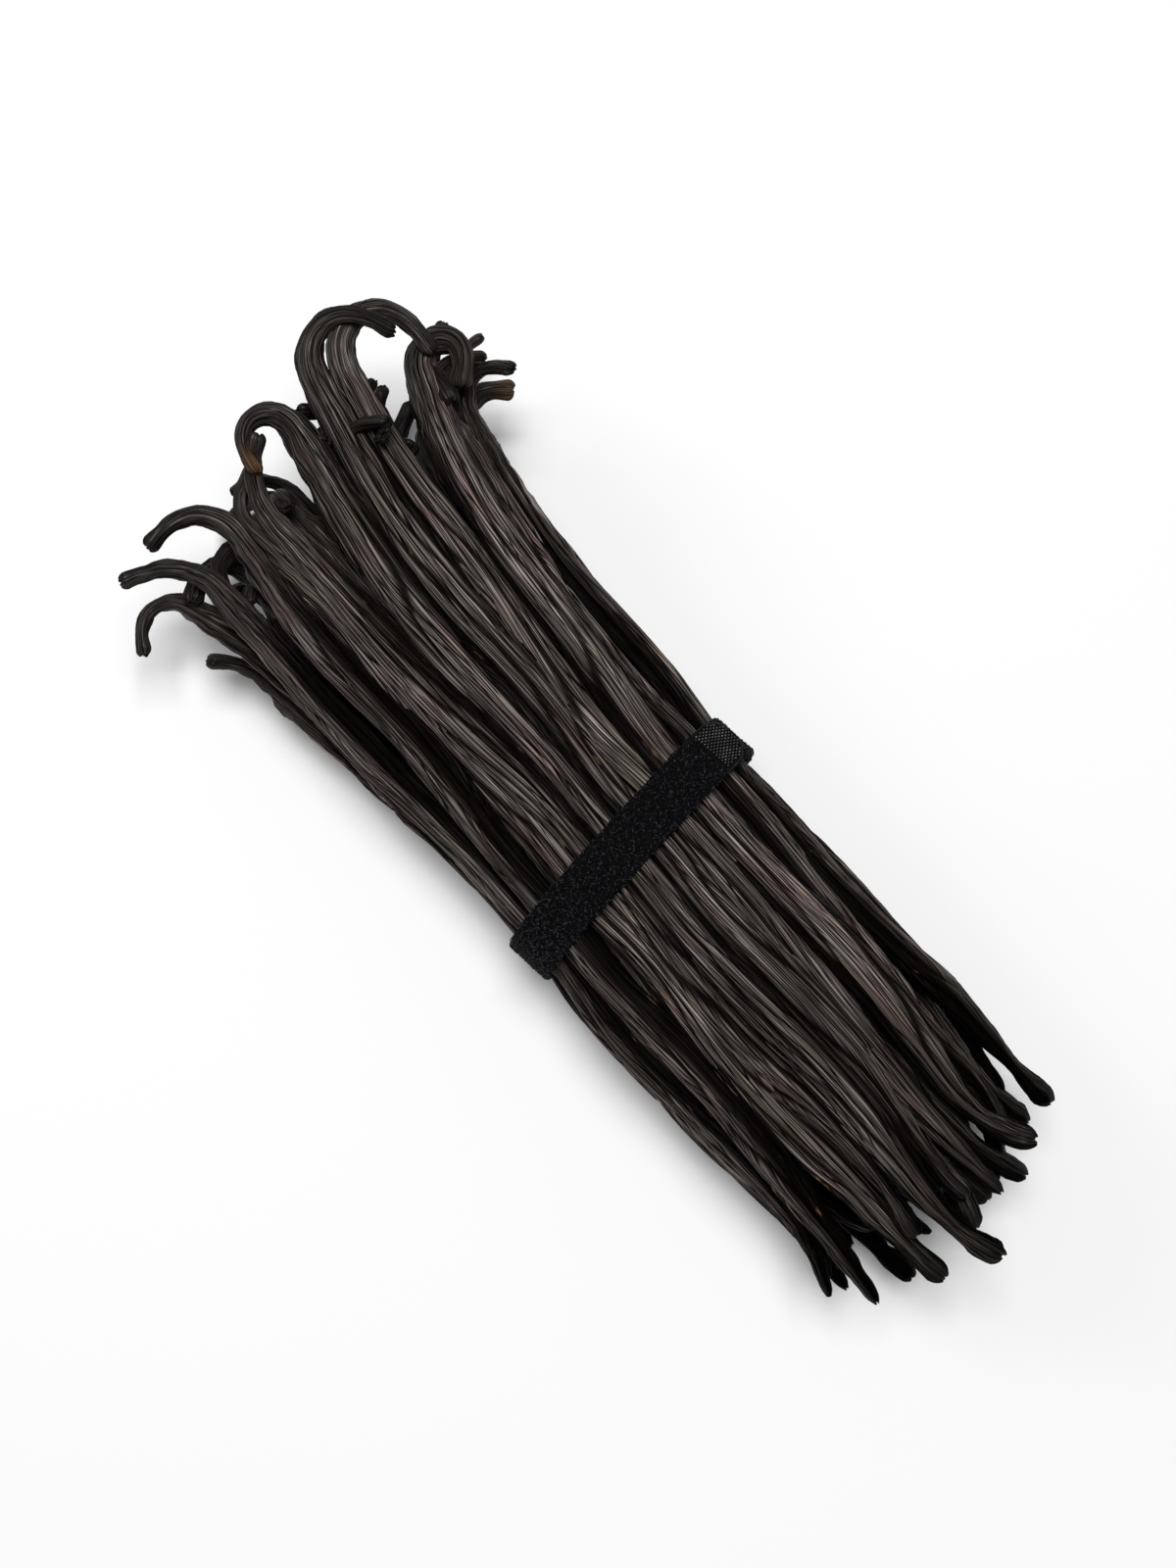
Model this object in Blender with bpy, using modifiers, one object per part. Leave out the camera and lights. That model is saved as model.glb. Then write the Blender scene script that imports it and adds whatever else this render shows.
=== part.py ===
"""A bundle of cured vanilla pods held at the waist by a hook-and-loop strap.

The pods run along X: their curled stalks are at -X and their blossom ends at +X. They lie in
rings round the bundle's axis, drawn together where the strap holds them and spread at the
stalks. The bundle is one solid out to its uneven outline, and the strap is a second solid
that passes round it, a little askew, and laps over itself.
"""

import math
import random
from collections import namedtuple

import bmesh
import bpy
from mathutils import Quaternion, Vector

# Driving dimensions, in metres and degrees. The origin lies on the resting face, under the
# middle of the strap.
STRAP_WIDTH = 0.0092
STRAP_THICKNESS = 0.0018
STRAP_SKEW = 6.0
STRAP_LAP = (28.0, 44.0, 61.0)
WAIST_HALF_WIDTH = 0.0260
WAIST_HALF_HEIGHT = 0.0200
WAIST_ROUNDNESS = 2.4
FLATTENED = 0.0010
POD_WIDTH = 0.0078
POD_DEPTH = 0.0052
BLOSSOM_REACH = 0.086
BLOSSOM_SPREAD = 1.0
BLOSSOM_RISE = 0.94
BLOSSOM_FLARE = 1.5
NECK_REACH = 0.080
NECK_SPREAD = 1.27
NECK_RISE = 1.20
NECK_FLARE = 2.4
NECK_DRIFT = 0.0025
STALK_BEND = (0.16, 0.94)
CROOK = 0.0022
CROOK_LENGTH = 0.016
PINCH = 0.04
PINCH_LENGTH = 0.014
GAP = 0.0003

# Pods in each ring, and the ring's size as a share of the outermost one.
RINGS = ((22, 1.0), (16, 0.74), (10, 0.48), (5, 0.22))
SEED = 7

# How each pod differs: its place at the waist, where its two ends lie, its stalk's length, turn,
# the way it bends in degrees from the top towards +Y and the girth that it keeps, how far it
# sinks below its neighbours, and how its blossom end is bent.
Pod = namedtuple(
    "Pod", "ring waist blossom neck sway tip stalk turn bearing stout girth angle sink crook"
)

# The pods along the top, set by hand: slot in the outer ring, then x and y where the body ends
# at its blossom and at its neck, and the stalk.
TOP_PODS = {
    4: dict(neck=(-0.066, -0.0285), stalk=0.016, turn=45, bearing=-60),
    5: dict(neck=(-0.083, -0.0318), stalk=0.022, turn=132, bearing=-92),
    6: dict(blossom=(0.082, -0.0235), neck=(-0.077, -0.0258), stalk=0.026, turn=72, bearing=-84),
    7: dict(blossom=(0.088, -0.0200), neck=(-0.081, -0.0172), stalk=0.026, turn=104, bearing=-88),
    8: dict(blossom=(0.092, -0.0140), neck=(-0.081, -0.0160), stalk=0.018, turn=85, bearing=72),
    9: dict(blossom=(0.083, -0.0085), neck=(-0.077, -0.0112), stalk=0.023, turn=58, bearing=66),
    10: dict(blossom=(0.095, -0.0030), neck=(-0.087, 0.0012), stalk=0.026, turn=180, bearing=-82),
    11: dict(blossom=(0.084, 0.0020), neck=(-0.091, 0.0092), stalk=0.033, turn=148, bearing=74),
    12: dict(blossom=(0.088, 0.0070), neck=(-0.088, 0.0168), stalk=0.037, turn=172, bearing=90),
    13: dict(blossom=(0.085, 0.0130), neck=(-0.083, 0.0255), stalk=0.026, turn=212, bearing=80),
    14: dict(blossom=(0.083, 0.0185), neck=(-0.077, 0.0262), stalk=0.022, turn=120, bearing=96),
    15: dict(blossom=(0.083, 0.0240), neck=(-0.074, 0.0285), stalk=0.022, turn=130, bearing=60),
    16: dict(stalk=0.020, turn=120, bearing=96),
    17: dict(stalk=0.018, turn=80, bearing=84),
}
TOP_TIPS = {6: "pointed", 7: "pointed", 8: "blunt", 10: "wedge", 15: "knob"}
TOP_STOUTNESS = {6: 0.68, 7: 0.66, 11: 0.62, 12: 0.66, 13: 0.90, 14: 0.70}

# How far some of the pods along the top lie below their neighbours.
SINKS = {5: 0.0018, 7: 0.0006, 8: 0.0026, 10: -0.0004, 12: 0.0022, 14: 0.0016, 16: 0.0020}

# The blossom ends: metres from the end, and the girth there as a share of the body's.
TIPS = {
    "blunt": ((0.0, 0.50), (0.004, 0.60), (0.014, 0.76), (0.034, 1.0)),
    "pointed": ((0.0, 0.18), (0.004, 0.40), (0.012, 0.68), (0.030, 1.0)),
    "wedge": ((0.0, 0.56), (0.003, 0.58), (0.009, 0.42), (0.018, 0.62), (0.036, 1.0)),
    "knob": ((0.0, 0.50), (0.0024, 0.62), (0.005, 0.58), (0.009, 0.42), (0.018, 0.72), (0.034, 1.0)),
}

BODY_STEPS = 12
STALK_STEPS = 12
TUBE_RADIUS = math.sqrt(POD_WIDTH * POD_DEPTH) / 2
CENTRE_HEIGHT = STRAP_THICKNESS + WAIST_HALF_HEIGHT - FLATTENED
LOWEST_WAIST_LINE = STRAP_THICKNESS + GAP + POD_DEPTH / 2
LOWEST_LINE = 0.42 * POD_DEPTH
VOXEL = 0.0016
KEPT_FACES = 0.13


def oval(angle, half_width, half_height):
    """(y, z) on the waist's rounded oval about its own centre, at degrees from the top towards +Y."""
    s = math.sin(math.radians(angle))
    c = math.cos(math.radians(angle))
    power = WAIST_ROUNDNESS
    radius = (abs(s / half_width) ** power + abs(c / half_height) ** power) ** (-1 / power)
    return radius * s, radius * c


def ring_point(angle, share):
    """(y, z) of a pod's middle line at the waist."""
    y, z = oval(angle, WAIST_HALF_WIDTH - POD_DEPTH / 2, WAIST_HALF_HEIGHT - POD_DEPTH / 2)
    return share * y, max(CENTRE_HEIGHT + share * z, LOWEST_WAIST_LINE)


def end_point(x, angle, share, wide, tall, drift):
    """A pod's end at x, where the bundle is wider or taller and lies on the surface below."""
    y, z = ring_point(angle, share)
    return Vector((x, drift + wide * y, LOWEST_LINE + tall * (z - LOWEST_WAIST_LINE)))


def stalk_bearing(angle, chance):
    """Stalks bend outwards, but those underneath can only bend sideways."""
    if abs(angle) > 110:
        angle = math.copysign(90, angle)
    return angle + chance.gauss(0, 30)


def plan_pod(ring, slot, chance):
    """One pod in its slot of a ring, with the chance differences between neighbours."""
    count, size = RINGS[ring]
    step = 360 / count
    angle = -180 + (slot + 0.5 + chance.uniform(-0.1, 0.1)) * step
    blossom = end_point(
        BLOSSOM_REACH + chance.uniform(-0.010, 0.005),
        angle + chance.uniform(-0.4, 0.4) * step,
        size + chance.uniform(-0.07, 0.04),
        BLOSSOM_SPREAD,
        BLOSSOM_RISE,
        0,
    )
    neck = end_point(
        -NECK_REACH + chance.uniform(-0.006, 0.008),
        angle + chance.uniform(-0.4, 0.4) * step,
        size + chance.uniform(-0.09, 0.05),
        NECK_SPREAD,
        NECK_RISE,
        NECK_DRIFT,
    )
    return Pod(
        ring=ring,
        waist=ring_point(angle, size),
        blossom=blossom,
        neck=neck,
        sway=(chance.uniform(0, 360), chance.uniform(0, 360)),
        tip=chance.choice(("blunt", "blunt", "pointed", "wedge", "knob")),
        stalk=chance.uniform(0.014, 0.028),
        turn=chance.triangular(50, 200, 110),
        bearing=stalk_bearing(angle, chance),
        stout=chance.uniform(0.56, 0.74),
        girth=chance.uniform(0.90, 1.12),
        angle=angle,
        sink=0.0,
        crook=(0.0, 0.0),
    )


def set_by_hand(pod, slot):
    """A pod along the top, with its ends, its stalk and its tip as they are listed."""
    facts = dict(TOP_PODS.get(slot, {}))
    for end in ("blossom", "neck"):
        if end in facts:
            facts[end] = Vector((*facts[end], getattr(pod, end).z))
    facts["tip"] = TOP_TIPS.get(slot, pod.tip)
    facts["stout"] = TOP_STOUTNESS.get(slot, pod.stout)
    return pod._replace(**facts)


def plan_pods():
    """Every pod of the bundle, from the outer ring inwards."""
    chance = random.Random(SEED)
    outer = [set_by_hand(plan_pod(0, slot, chance), slot) for slot in range(RINGS[0][0])]
    outer = [pod._replace(sink=SINKS.get(slot, 0.0)) for slot, pod in enumerate(outer)]
    inner = [
        plan_pod(ring, slot, chance) for ring in range(1, len(RINGS)) for slot in range(RINGS[ring][0])
    ]
    pods = outer + inner
    crooks = [(chance.gauss(0, CROOK), chance.gauss(0, CROOK / 2)) for _ in pods]
    return [pod._replace(crook=crook) for pod, crook in zip(pods, crooks)]


def body_point(pod, x):
    """The pod's middle line where it crosses the plane at x, between its two ends."""
    end, flare = (pod.blossom, BLOSSOM_FLARE) if x > 0 else (pod.neck, NECK_FLARE)
    share = (x / end.x) ** flare
    freedom = 1 - math.exp(-((x / PINCH_LENGTH) ** 2))
    swell = 1 + PINCH * freedom * (1 - share)
    waist_y, waist_z = pod.waist
    y = waist_y * swell
    z = CENTRE_HEIGHT + (waist_z - CENTRE_HEIGHT) * swell
    y += (end.y - y) * share + 0.0009 * freedom * math.sin(math.radians(pod.sway[0]) + x / 0.012)
    z += (end.z - z) * share + 0.0007 * freedom * math.sin(math.radians(pod.sway[1]) + x / 0.014)
    y -= pod.sink * freedom * math.sin(math.radians(pod.angle))
    z -= pod.sink * freedom * math.cos(math.radians(pod.angle))
    bent = max(0.0, 1 - (pod.blossom.x - x) / CROOK_LENGTH) ** 2
    y += pod.crook[0] * bent
    z += pod.crook[1] * bent
    return Vector((x, y, max(z, LOWEST_LINE)))


def tip_girth(tip, distance):
    """The girth of a blossom end at this distance from it, as a share of the body's."""
    profile = TIPS[tip]
    for (near, thin), (far, thick) in zip(profile, profile[1:]):
        if distance < far:
            part = (distance - near) / (far - near)
            return thin + (thick - thin) * part * part * (3 - 2 * part)
    return 1.0


def stalk_line(pod, before, point):
    """The stalk goes on the way the body was going, bends over, and ends nearly straight."""
    heading = (point - before).normalized()
    bearing = math.radians(pod.bearing)
    side = Vector((0, math.sin(bearing), math.cos(bearing)))
    hinge = heading.cross(side).normalized()
    line = []
    bent = 0.0
    for step in range(1, STALK_STEPS + 1):
        along = step / STALK_STEPS
        part = min(1.0, max(0.0, (along - STALK_BEND[0]) / (STALK_BEND[1] - STALK_BEND[0])))
        part = part * part * (3 - 2 * part)
        bend, bent = pod.turn * (part - bent), part
        heading = Quaternion(hinge, math.radians(bend)) @ heading
        point = point + heading * (pod.stalk / STALK_STEPS)
        point.z = max(point.z, LOWEST_LINE)
        line.append((point.copy(), pod.girth * (0.80 + (pod.stout - 0.80) * min(1.0, along * 1.6))))
    return line


def pod_line(pod):
    """[(point, girth share)] from the blossom end along the body and round the curled stalk."""
    tip_steps = [distance for distance, _ in TIPS[pod.tip]]
    first = pod.blossom.x - tip_steps[-1]
    places = [pod.blossom.x - distance for distance in tip_steps[:-1]]
    places += [first + (pod.neck.x - first) * step / BODY_STEPS for step in range(BODY_STEPS + 1)]
    line = []
    for x in places:
        narrowing = min(1.0, 0.80 + 0.20 * (x - pod.neck.x) / 0.030)
        girth = min(tip_girth(pod.tip, pod.blossom.x - x), narrowing)
        line.append((body_point(pod, x), pod.girth * girth))
    return line + stalk_line(pod, line[-2][0], line[-1][0])


def material(name, colour, roughness):
    made = bpy.data.materials.new(name)
    made.use_nodes = True
    shader = made.node_tree.nodes["Principled BSDF"]
    shader.inputs["Base Color"].default_value = (*colour, 1)
    shader.inputs["Roughness"].default_value = roughness
    shader.inputs["Metallic"].default_value = 0
    return made


def add_object(name, data, collection):
    made = bpy.data.objects.new(name, data)
    collection.objects.link(made)
    return made


def move_to(made, collection):
    for owner in list(made.users_collection):
        owner.objects.unlink(made)
    collection.objects.link(made)


def as_mesh(curve_object, name, collection):
    """A curve object made a closed mesh, with its caps welded on."""
    graph = bpy.context.evaluated_depsgraph_get()
    mesh = bpy.data.meshes.new_from_object(curve_object.evaluated_get(graph))
    welded = bmesh.new()
    welded.from_mesh(mesh)
    bmesh.ops.remove_doubles(welded, verts=welded.verts, dist=1e-5)
    welded.to_mesh(mesh)
    welded.free()
    made = add_object(name, mesh, collection)
    made.matrix_world = curve_object.matrix_world
    bpy.data.objects.remove(curve_object)
    return made


def pod_tube(pod, collection):
    """One pod as a tapering tube along its line."""
    curve = bpy.data.curves.new("pod_line", "CURVE")
    curve.dimensions = "3D"
    curve.bevel_depth = TUBE_RADIUS
    curve.bevel_resolution = 2
    curve.use_fill_caps = True
    line = pod_line(pod)
    spline = curve.splines.new("POLY")
    spline.points.add(len(line) - 1)
    for point, (place, girth) in zip(spline.points, line):
        point.co = (*place, 1)
        point.radius = girth
    return as_mesh(add_object("pod_line", curve, collection), "pod", collection)


def heart(collection):
    """The middle of the bundle, which the pods hide: it closes the spaces between them."""
    bpy.ops.mesh.primitive_uv_sphere_add(segments=24, ring_count=16, radius=1)
    made = bpy.context.object
    made.scale = (0.086, 0.88 * WAIST_HALF_WIDTH, 0.86 * WAIST_HALF_HEIGHT)
    made.location = (0, 0, CENTRE_HEIGHT)
    move_to(made, collection)
    return made


def add_spline(curve, outline):
    spline = curve.splines.new("POLY")
    spline.points.add(len(outline) - 1)
    for point, place in zip(spline.points, outline):
        point.co = (*place, 0, 1)
    spline.use_cyclic_u = True


def band(name, outer, inner, width, collection):
    """A flat ring between two (y, z) outlines, this wide and centred on the origin."""
    curve = bpy.data.curves.new(name, "CURVE")
    curve.dimensions = "2D"
    curve.fill_mode = "BOTH"
    curve.extrude = width / 2
    add_spline(curve, outer)
    add_spline(curve, inner)
    flat = add_object(name + "_outline", curve, collection)
    # The outline is drawn with y across and z up, stood up to face along X, and then skewed.
    flat.rotation_euler = (math.pi / 2, 0, math.pi / 2 + math.radians(STRAP_SKEW))
    bpy.context.view_layer.update()
    return as_mesh(flat, name, collection)


def box_outline(half):
    """A square round the bundle, far outside it."""
    return [(-half, -half), (half, -half), (half, half), (-half, half)]


def lap_share(angle):
    """How much of the strap's second thickness lies here: it rises gently and ends in a step."""
    start, full, end = STRAP_LAP
    return min(1.0, (angle - start) / (full - start)) if start < angle < end else 0.0


def outline(grown, lowest, lap=0.0, steps=72):
    """The waist's oval grown outwards and flattened below. lap thickens it where the strap laps."""
    points = []
    for step in range(steps):
        angle = -180 + 360 * (step + 0.5) / steps
        extra = lap * lap_share(angle)
        y, z = oval(angle, WAIST_HALF_WIDTH + grown + extra, WAIST_HALF_HEIGHT + grown + extra)
        points.append((y, max(CENTRE_HEIGHT + z, lowest)))
    return points


def make_pods(parts, helpers):
    """The bundle: tubes joined and skinned as one body, then cut by the strap and the surface below."""
    pieces = [pod_tube(pod, parts) for pod in plan_pods()]
    pieces.append(heart(parts))
    bpy.ops.object.select_all(action="DESELECT")
    for piece in pieces:
        piece.select_set(True)
    bundle = pieces[0]
    bpy.context.view_layer.objects.active = bundle
    bpy.ops.object.join()
    bundle.name = "pods"
    bundle.data.materials.clear()
    bundle.data.materials.append(material("pod_skin", (0.045, 0.032, 0.027), 0.5))

    skin = bundle.modifiers.new("skin", "REMESH")
    skin.mode = "VOXEL"
    skin.voxel_size = VOXEL
    fewer = bundle.modifiers.new("fewer_faces", "DECIMATE")
    fewer.ratio = KEPT_FACES

    waist = outline(0, STRAP_THICKNESS + GAP)
    seat = band("strap_seat", box_outline(0.08), waist, STRAP_WIDTH + 2 * GAP, helpers)
    bpy.ops.mesh.primitive_cube_add(size=1, location=(0, 0, -0.02), scale=(0.4, 0.3, 0.04))
    surface = bpy.context.object
    surface.name = "surface_below"
    move_to(surface, helpers)
    for cutter in (seat, surface):
        cutter.hide_render = True
        cutter.display_type = "WIRE"
        cut = bundle.modifiers.new("cut_" + cutter.name, "BOOLEAN")
        cut.operation = "DIFFERENCE"
        cut.object = cutter
    return bundle


def make_strap(parts):
    """The strap: a band round the waist that is twice as thick where its end laps over it."""
    strap = band(
        "strap",
        outline(STRAP_THICKNESS, 0.0, lap=STRAP_THICKNESS),
        outline(GAP, STRAP_THICKNESS),
        STRAP_WIDTH,
        parts,
    )
    strap.data.materials.append(material("strap_pile", (0.008, 0.008, 0.009), 0.9))
    return strap


def main():
    for obj in list(bpy.data.objects):
        bpy.data.objects.remove(obj)
    parts = bpy.data.collections.new("vanilla_bundle")
    helpers = bpy.data.collections.new("cutters")
    for collection in (parts, helpers):
        bpy.context.scene.collection.children.link(collection)
    make_pods(parts, helpers)
    make_strap(parts)


main()
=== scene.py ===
"""The looks of a bundle of cured vanilla pods held at the waist by a hook-and-loop strap.

Every pod is modelled from one straight pod, wrinkled in its own way, and bent along its line in
the bundle. The lines are planned exactly as for the solid that the pods replace. The pods run
along X with their curled stalks at -X, and the strap passes round them, a little askew.
"""

import math
import random
from collections import namedtuple

import bpy
import numpy as np
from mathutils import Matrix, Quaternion, Vector


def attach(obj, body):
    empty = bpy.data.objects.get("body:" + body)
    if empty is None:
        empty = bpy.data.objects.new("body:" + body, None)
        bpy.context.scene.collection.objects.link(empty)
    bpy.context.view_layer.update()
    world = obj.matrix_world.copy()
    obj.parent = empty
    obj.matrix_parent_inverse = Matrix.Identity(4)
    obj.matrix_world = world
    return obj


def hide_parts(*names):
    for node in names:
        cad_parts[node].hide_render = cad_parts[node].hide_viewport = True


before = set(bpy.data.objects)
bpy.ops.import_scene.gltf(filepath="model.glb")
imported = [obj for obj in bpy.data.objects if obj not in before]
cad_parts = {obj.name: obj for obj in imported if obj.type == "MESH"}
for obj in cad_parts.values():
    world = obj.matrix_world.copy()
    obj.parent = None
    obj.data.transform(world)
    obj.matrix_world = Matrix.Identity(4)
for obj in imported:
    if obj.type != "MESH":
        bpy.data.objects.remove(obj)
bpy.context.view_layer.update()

# The bundle, in metres and degrees.
STRAP_WIDTH = 0.0092
STRAP_THICKNESS = 0.0018
STRAP_SKEW = 6.0
WAIST_HALF_WIDTH = 0.0260
WAIST_HALF_HEIGHT = 0.0200
WAIST_ROUNDNESS = 2.4
FLATTENED = 0.0010
POD_WIDTH = 0.0078
POD_DEPTH = 0.0052
BLOSSOM_REACH = 0.086
BLOSSOM_SPREAD = 1.0
BLOSSOM_RISE = 0.94
BLOSSOM_FLARE = 1.5
NECK_REACH = 0.080
NECK_SPREAD = 1.27
NECK_RISE = 1.20
NECK_FLARE = 2.4
NECK_DRIFT = 0.0025
STALK_BEND = (0.16, 0.94)
CROOK = 0.0022
CROOK_LENGTH = 0.016
PINCH = 0.04
PINCH_LENGTH = 0.014
GAP = 0.0003

# Pods in each ring, and the ring's size as a share of the outermost one.
RINGS = ((22, 1.0), (16, 0.74), (10, 0.48), (5, 0.22))
SEED = 7

Pod = namedtuple(
    "Pod", "ring waist blossom neck sway tip stalk turn bearing stout girth angle sink crook"
)

# The pods along the top, listed: slot in the outer ring, then x and y where the body ends at its
# blossom and at its neck, and the stalk.
TOP_PODS = {
    4: dict(neck=(-0.066, -0.0285), stalk=0.016, turn=45, bearing=-60),
    5: dict(neck=(-0.083, -0.0318), stalk=0.022, turn=132, bearing=-92),
    6: dict(blossom=(0.082, -0.0235), neck=(-0.077, -0.0258), stalk=0.026, turn=72, bearing=-84),
    7: dict(blossom=(0.088, -0.0200), neck=(-0.081, -0.0172), stalk=0.026, turn=104, bearing=-88),
    8: dict(blossom=(0.092, -0.0140), neck=(-0.081, -0.0160), stalk=0.018, turn=85, bearing=72),
    9: dict(blossom=(0.083, -0.0085), neck=(-0.077, -0.0112), stalk=0.023, turn=58, bearing=66),
    10: dict(blossom=(0.095, -0.0030), neck=(-0.087, 0.0012), stalk=0.026, turn=180, bearing=-82),
    11: dict(blossom=(0.084, 0.0020), neck=(-0.091, 0.0092), stalk=0.033, turn=148, bearing=74),
    12: dict(blossom=(0.088, 0.0070), neck=(-0.088, 0.0168), stalk=0.037, turn=172, bearing=90),
    13: dict(blossom=(0.085, 0.0130), neck=(-0.083, 0.0255), stalk=0.026, turn=212, bearing=80),
    14: dict(blossom=(0.083, 0.0185), neck=(-0.077, 0.0262), stalk=0.022, turn=120, bearing=96),
    15: dict(blossom=(0.083, 0.0240), neck=(-0.074, 0.0285), stalk=0.022, turn=130, bearing=60),
    16: dict(stalk=0.020, turn=120, bearing=96),
    17: dict(stalk=0.018, turn=80, bearing=84),
}
TOP_TIPS = {6: "pointed", 7: "pointed", 8: "blunt", 10: "wedge", 15: "knob"}
TOP_STOUTNESS = {6: 0.68, 7: 0.66, 11: 0.62, 12: 0.66, 13: 0.90, 14: 0.70}

# How far some of the pods along the top lie below their neighbours.
SINKS = {5: 0.0018, 7: 0.0006, 8: 0.0026, 10: -0.0004, 12: 0.0022, 14: 0.0016, 16: 0.0020}

# The blossom ends: metres from the end, and the girth there as a share of the body's.
TIPS = {
    "blunt": (
        (0.0, 0.40), (0.0018, 0.57), (0.0042, 0.56), (0.0090, 0.44), (0.018, 0.70), (0.034, 1.0)
    ),
    "pointed": ((0.0, 0.20), (0.0025, 0.38), (0.006, 0.42), (0.013, 0.64), (0.030, 1.0)),
    "wedge": (
        (0.0, 0.42), (0.0020, 0.55), (0.0045, 0.50), (0.0090, 0.36), (0.018, 0.58), (0.036, 1.0)
    ),
    "knob": (
        (0.0, 0.44), (0.0020, 0.64), (0.0046, 0.60), (0.0085, 0.38), (0.018, 0.66), (0.034, 1.0)
    ),
}

CENTRE_HEIGHT = STRAP_THICKNESS + WAIST_HALF_HEIGHT - FLATTENED
LOWEST_WAIST_LINE = STRAP_THICKNESS + GAP + POD_DEPTH / 2
LOWEST_LINE = 0.42 * POD_DEPTH

# How finely a pod's line is followed, and how far it may turn about itself.
TIP_STEPS = 16
BODY_STEPS = 70
STALK_STEPS = 54
SELF_TURN = 24.0
SQUEEZE = 0.17
SQUEEZE_LENGTH = 0.022
BOXINESS = 2.7
# Where the painted shade on the sides of a pod begins and where it is full, in degrees round the pod.
FLANK_FROM = 26.0
FLANK_FULL = 68.0
LOWEST_SKIN = 0.00005

# The straight pod that all are copied from: for each grade its edges round the far and the near
# side, and the metres between its rings at the tip, along the body and along the stalk.
POD_LENGTH = 0.190
TIP_LENGTH = 0.026
STALK_LENGTH = 0.034
NEAR_SIDE = 240
# The rim of a pod's end: how far each ring is pushed out, and its size as a share of the last.
END_STEPS = (
    (0.00042, 0.93),
    (0.00036, 0.85),
    (0.00026, 0.76),
    (0.00004, 0.72),
    (-0.00034, 0.72),
    (-0.00020, 0.60),
    (0.00004, 0.30),
)

GRADES = {
    "top": dict(near=80, far=12, tip=0.0009, body=0.0018, stalk=0.0008),
    "under": dict(near=44, far=10, tip=0.0012, body=0.0022, stalk=0.0011),
    "second": dict(near=32, far=10, tip=0.0014, body=0.0026, stalk=0.0013),
    "inner": dict(near=16, far=8, tip=0.0020, body=0.0040, stalk=0.0020),
}

# The relief of the skin, coarse to fine: how wide and long its features are, how deep, and what
# part of that lies under the smooth skin. Furrows are long narrow grooves, this share of the
# ridge between two of them.
RELIEF = {
    "folds": dict(furrow=0, wide=0.0045, long=0.060, deep=0.0020, middle=0.5, where="relief"),
    "lumps": dict(furrow=0, wide=0.0080, long=0.020, deep=0.0012, middle=0.5, where="relief"),
    "knuckles": dict(furrow=0, wide=0.0028, long=0.0040, deep=0.0021, middle=0.5, where="gnarl"),
    "creases": dict(furrow=0.26, wide=0.0031, long=0.045, deep=0.00085, middle=0.7, where="relief"),
    "wrinkles": dict(furrow=0.40, wide=0.00082, long=0.024, deep=0.00028, middle=0.6, where="relief"),
}
# A stalk's girth near its end: metres from the end, and the girth as a share of what it would be.
STALK_END = ((0.0, 0.68), (0.0014, 0.70), (0.0040, 0.60), (0.012, 0.72), (0.024, 1.0))
# How much of the relief is left: metres from the blossom end, then from the stalk's end.
RELIEF_AT_TIP = ((0.0, 0.40), (0.003, 0.80), (0.012, 1.0))
RELIEF_AT_STALK = ((0.0, 0.20), (0.004, 0.42), (0.022, 0.52), (0.044, 1.0))
# The ends are gnarled as well, from the blossom end and from the stalk's end.
GNARL_AT_TIP = ((0.0, 0.5), (0.003, 1.0), (0.010, 0.8), (0.024, 0.0))
GNARL_AT_STALK = ((0.0, 0.5), (0.003, 1.0), (0.022, 0.85), (0.046, 0.0))
# How dark the skin is towards both ends, as a share of its tone along the body.
TONE_AT_TIP = ((0.0, 0.16), (0.005, 0.30), (0.014, 0.60), (0.032, 0.86), (0.060, 1.0))
TONE_AT_STALK = ((0.0, 0.26), (0.012, 0.40), (0.026, 0.62), (0.040, 1.0))
# How much darker the sides of a pod are painted than its middle, as painted shade, from the stalk's end.
FLANK_AT_STALK = ((0.0, 0.0), (0.018, 0.25), (0.040, 1.0))

# The half length of the core, the painted shade that darkens the pods inside the bundle, the least and
# most that the pods differ in tone, and the share of them with a dry woody stalk end.
CORE_REACH = 0.062
INNER_PAINTED_SHADE = 0.62
POD_TONES = (0.62, 1.18)
WOODY_SHARE = 0.26

# Colours, as linear red, green, blue and alpha.
# The first colour is painted shade: the near black of the skin in its furrows and creases and on the sides of
# the pods.
SKIN_PAINTED_SHADE = (0.0020, 0.0010, 0.0008, 1)
SKIN_LIGHT = (0.318, 0.262, 0.240, 1)
SKIN_RED = (0.335, 0.200, 0.180, 1)
SKIN_OLIVE = (0.275, 0.256, 0.182, 1)
SKIN_WOODY = (0.27, 0.150, 0.074, 1)

# The fine wrinkles of the skin, and how lines wander: across their own width, this many widths
# wide, by this many widths.
FINE_WIDE = 0.00031
FINE_LONG = 0.020
BROAD_WIDE = 0.00085
BROAD_LONG = 0.030
MEANDER = 3.0
MEANDER_WIDE = 5.0

CAMERA_AZIMUTH = 48.5
CAMERA_ELEVATION = 81.0
CAMERA_DISTANCE = 0.350
CAMERA_LENS = 46.0
CAMERA_AIM = (0.0, 0.0, 0.036)


# ---- the plan of the bundle, as in the solid that the pods replace ----


def oval(angle, half_width, half_height):
    """(y, z) on the waist's rounded oval about its own centre, at degrees from the top towards +Y."""
    s = math.sin(math.radians(angle))
    c = math.cos(math.radians(angle))
    power = WAIST_ROUNDNESS
    radius = (abs(s / half_width) ** power + abs(c / half_height) ** power) ** (-1 / power)
    return radius * s, radius * c


def ring_point(angle, share):
    """(y, z) of a pod's middle line at the waist."""
    y, z = oval(angle, WAIST_HALF_WIDTH - POD_DEPTH / 2, WAIST_HALF_HEIGHT - POD_DEPTH / 2)
    return share * y, max(CENTRE_HEIGHT + share * z, LOWEST_WAIST_LINE)


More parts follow.
